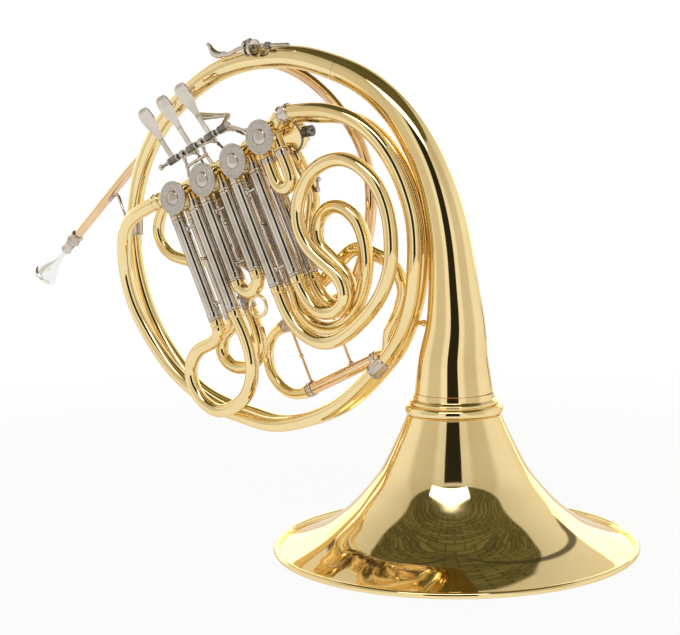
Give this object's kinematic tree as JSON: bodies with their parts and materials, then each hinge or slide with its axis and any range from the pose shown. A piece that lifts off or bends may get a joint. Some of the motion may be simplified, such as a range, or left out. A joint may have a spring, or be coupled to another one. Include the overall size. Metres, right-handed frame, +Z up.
{
  "type": "double french horn",
  "caption": "Double french horn standing on its bell, with rotary valves, finger and thumb levers, pull slides, lead pipe and mouthpiece.",
  "frame": {"origin": "centre of the bounding box on the surface that the bell rim stands on", "axes": "+Z up along the bell axis, +X from the mouthpiece towards the bell, -Y the side that the valve caps face"},
  "size_m": [0.6796, 0.31, 0.4361],
  "materials": {
    "brass": "polished and lacquered",
    "rose_brass": "polished and lacquered",
    "nickel_silver": "satin polished",
    "cap_nickel": "fine matt grain with a polished centre",
    "silver_plate": "bright plated",
    "steel": "plain"
  },
  "bodies": {
    "body": {"bell_lock_ring": "brass", "bell_tail": "brass", "upper_branch": "brass", "lower_branch": "brass", "branch_ferrule": "nickel_silver", "f_loop_left": "brass", "f_loop_right": "brass", "f_loop_ferrule": "nickel_silver", "valve_casing_1": "brass", "valve_casing_2": "brass", "valve_casing_3": "brass", "valve_casing_4": "brass", "valve_cap_1": "cap_nickel", "valve_cap_2": "cap_nickel", "valve_cap_3": "cap_nickel", "valve_cap_4": "cap_nickel", "bearing_plate_1": "brass", "bearing_plate_2": "brass", "bearing_plate_3": "brass", "bearing_plate_4": "brass", "slide_sleeves_1": "nickel_silver", "slide_sleeves_2": "nickel_silver", "slide_sleeves_3": "nickel_silver", "tuning_sleeves": "rose_brass", "lead_pipe": "rose_brass", "mouthpiece_receiver": "nickel_silver", "feed_tube": "brass", "change_crook": "brass", "hook_clamp": "nickel_silver", "lever_rod": "steel", "lever_posts": "nickel_silver"},
    "bell": {"bell_flare": "brass", "bell_thread_ring": "brass"},
    "rotor_one": {"rotor_1": "brass", "stop_arm_1": "steel"},
    "rotor_two": {"rotor_2": "brass", "stop_arm_2": "steel"},
    "rotor_three": {"rotor_3": "brass", "stop_arm_3": "steel"},
    "rotor_four": {"rotor_4": "brass", "stop_arm_4": "steel"},
    "lever_one": {"finger_lever_1": "nickel_silver"},
    "lever_two": {"finger_lever_2": "nickel_silver"},
    "lever_three": {"finger_lever_3": "nickel_silver"},
    "lever_thumb": {"thumb_lever": "nickel_silver"},
    "link_one": {"link_rod_1": "steel"},
    "link_two": {"link_rod_2": "steel"},
    "link_three": {"link_rod_3": "steel"},
    "link_four": {"link_rod_4": "steel"},
    "front_slide_one": {"f_slide_1": "brass"},
    "front_slide_two": {"f_slide_2": "brass"},
    "front_slide_three": {"f_slide_3": "brass"},
    "back_slide_one": {"b_slide_1": "brass"},
    "back_slide_two": {"b_slide_2": "brass"},
    "back_slide_three": {"b_slide_3": "brass"},
    "main_slide": {"tuning_slide": "brass"},
    "mouthpiece_body": {"mouthpiece": "silver_plate"},
    "drain_key": {"water_key": "nickel_silver"},
    "hook": {"finger_hook": "nickel_silver"},
    "clamp_screw": {"hook_screw": "nickel_silver"}
  },
  "joints": [
    {"name": "bell_turn", "type": "hinge", "parent": "body", "child": "bell", "pos_m": [0.18476, 0, 0.115], "axis": [0, 0, 1], "continuous": true},
    {"name": "lever_one_press", "type": "hinge", "parent": "body", "child": "lever_one", "pos_m": [-0.11228, -0.0145, 0.32812], "axis": [-0.9063, 0, -0.4226], "range_deg": [0, 21], "stiffness_Nm_per_rad": 0.2, "springref_deg": -14.32},
    {"name": "lever_two_press", "type": "hinge", "parent": "body", "child": "lever_two", "pos_m": [-0.08917, -0.0145, 0.33889], "axis": [-0.9063, 0, -0.4226], "range_deg": [0, 21], "stiffness_Nm_per_rad": 0.2, "springref_deg": -14.32},
    {"name": "lever_three_press", "type": "hinge", "parent": "body", "child": "lever_three", "pos_m": [-0.06606, -0.0145, 0.34967], "axis": [-0.9063, 0, -0.4226], "range_deg": [0, 21], "stiffness_Nm_per_rad": 0.2, "springref_deg": -14.32},
    {"name": "lever_thumb_press", "type": "hinge", "parent": "body", "child": "lever_thumb", "pos_m": [-0.05065, -0.0145, 0.35685], "axis": [0.9063, 0, 0.4226], "range_deg": [0, 21], "stiffness_Nm_per_rad": 0.2, "springref_deg": -14.32},
    {"name": "link_one_push", "type": "slide", "parent": "body", "child": "link_one", "axis": [0.4226, 0, -0.9063], "range_m": [0, 0.0102]},
    {"name": "link_two_push", "type": "slide", "parent": "body", "child": "link_two", "axis": [0.4226, 0, -0.9063], "range_m": [0, 0.0102]},
    {"name": "link_three_push", "type": "slide", "parent": "body", "child": "link_three", "axis": [0.4226, 0, -0.9063], "range_m": [0, 0.0102]},
    {"name": "link_four_pull", "type": "slide", "parent": "body", "child": "link_four", "axis": [-0.4226, 0, 0.9063], "range_m": [0, 0.0102]},
    {"name": "rotor_one_turn", "type": "hinge", "parent": "body", "child": "rotor_one", "pos_m": [-0.08994, 0, 0.2944], "axis": [0, 1, 0], "range_deg": [0, 90]},
    {"name": "rotor_two_turn", "type": "hinge", "parent": "body", "child": "rotor_two", "pos_m": [-0.05369, 0, 0.31131], "axis": [0, 1, 0], "range_deg": [0, 90]},
    {"name": "rotor_three_turn", "type": "hinge", "parent": "body", "child": "rotor_three", "pos_m": [-0.01744, 0, 0.32821], "axis": [0, 1, 0], "range_deg": [0, 90]},
    {"name": "rotor_four_turn", "type": "hinge", "parent": "body", "child": "rotor_four", "pos_m": [0.01413, 0, 0.34878], "axis": [0, -1, 0], "range_deg": [0, 90]},
    {"name": "front_slide_one_pull", "type": "slide", "parent": "body", "child": "front_slide_one", "axis": [0.4226, 0, -0.9063], "range_m": [0, 0.025]},
    {"name": "front_slide_two_pull", "type": "slide", "parent": "body", "child": "front_slide_two", "axis": [0.4226, 0, -0.9063], "range_m": [0, 0.025]},
    {"name": "front_slide_three_pull", "type": "slide", "parent": "body", "child": "front_slide_three", "axis": [0.4226, 0, -0.9063], "range_m": [0, 0.025]},
    {"name": "back_slide_one_pull", "type": "slide", "parent": "body", "child": "back_slide_one", "axis": [0.4226, 0, -0.9063], "range_m": [0, 0.02]},
    {"name": "back_slide_two_pull", "type": "slide", "parent": "body", "child": "back_slide_two", "axis": [0.4226, 0, -0.9063], "range_m": [0, 0.025]},
    {"name": "back_slide_three_pull", "type": "slide", "parent": "body", "child": "back_slide_three", "axis": [0.4226, 0, -0.9063], "range_m": [0, 0.02]},
    {"name": "main_slide_pull", "type": "slide", "parent": "body", "child": "main_slide", "axis": [-0.9063, 0, -0.4226], "range_m": [0, 0.025]},
    {"name": "mouthpiece_pull", "type": "slide", "parent": "body", "child": "mouthpiece_body", "axis": [-0.7559, 0, -0.6547], "range_m": [0, 0.02]},
    {"name": "drain_key_press", "type": "hinge", "parent": "body", "child": "drain_key", "pos_m": [0.04229, 0.0037, 0.30917], "axis": [0, -1, 0], "range_deg": [0, 10], "stiffness_Nm_per_rad": 0.05, "springref_deg": -17.19},
    {"name": "hook_shift", "type": "slide", "parent": "body", "child": "hook", "axis": [1, 0, 0], "range_m": [-0.005, 0.005]},
    {"name": "clamp_screw_turn", "type": "hinge", "parent": "body", "child": "clamp_screw", "pos_m": [-0.01629, -0.01149, 0.42818], "axis": [0, -0.766, 0.6428], "continuous": true}
  ],
  "couplings": [
    {"joint": "link_one_push", "follows": "lever_one_press", "m_per_rad": 0.0278},
    {"joint": "link_two_push", "follows": "lever_two_press", "m_per_rad": 0.0278},
    {"joint": "link_three_push", "follows": "lever_three_press", "m_per_rad": 0.0278},
    {"joint": "link_four_pull", "follows": "lever_thumb_press", "m_per_rad": 0.0278},
    {"joint": "rotor_one_turn", "follows": "lever_one_press", "ratio": 4.28},
    {"joint": "rotor_two_turn", "follows": "lever_two_press", "ratio": 4.28},
    {"joint": "rotor_three_turn", "follows": "lever_three_press", "ratio": 4.28},
    {"joint": "rotor_four_turn", "follows": "lever_thumb_press", "ratio": 4.28}
  ]
}
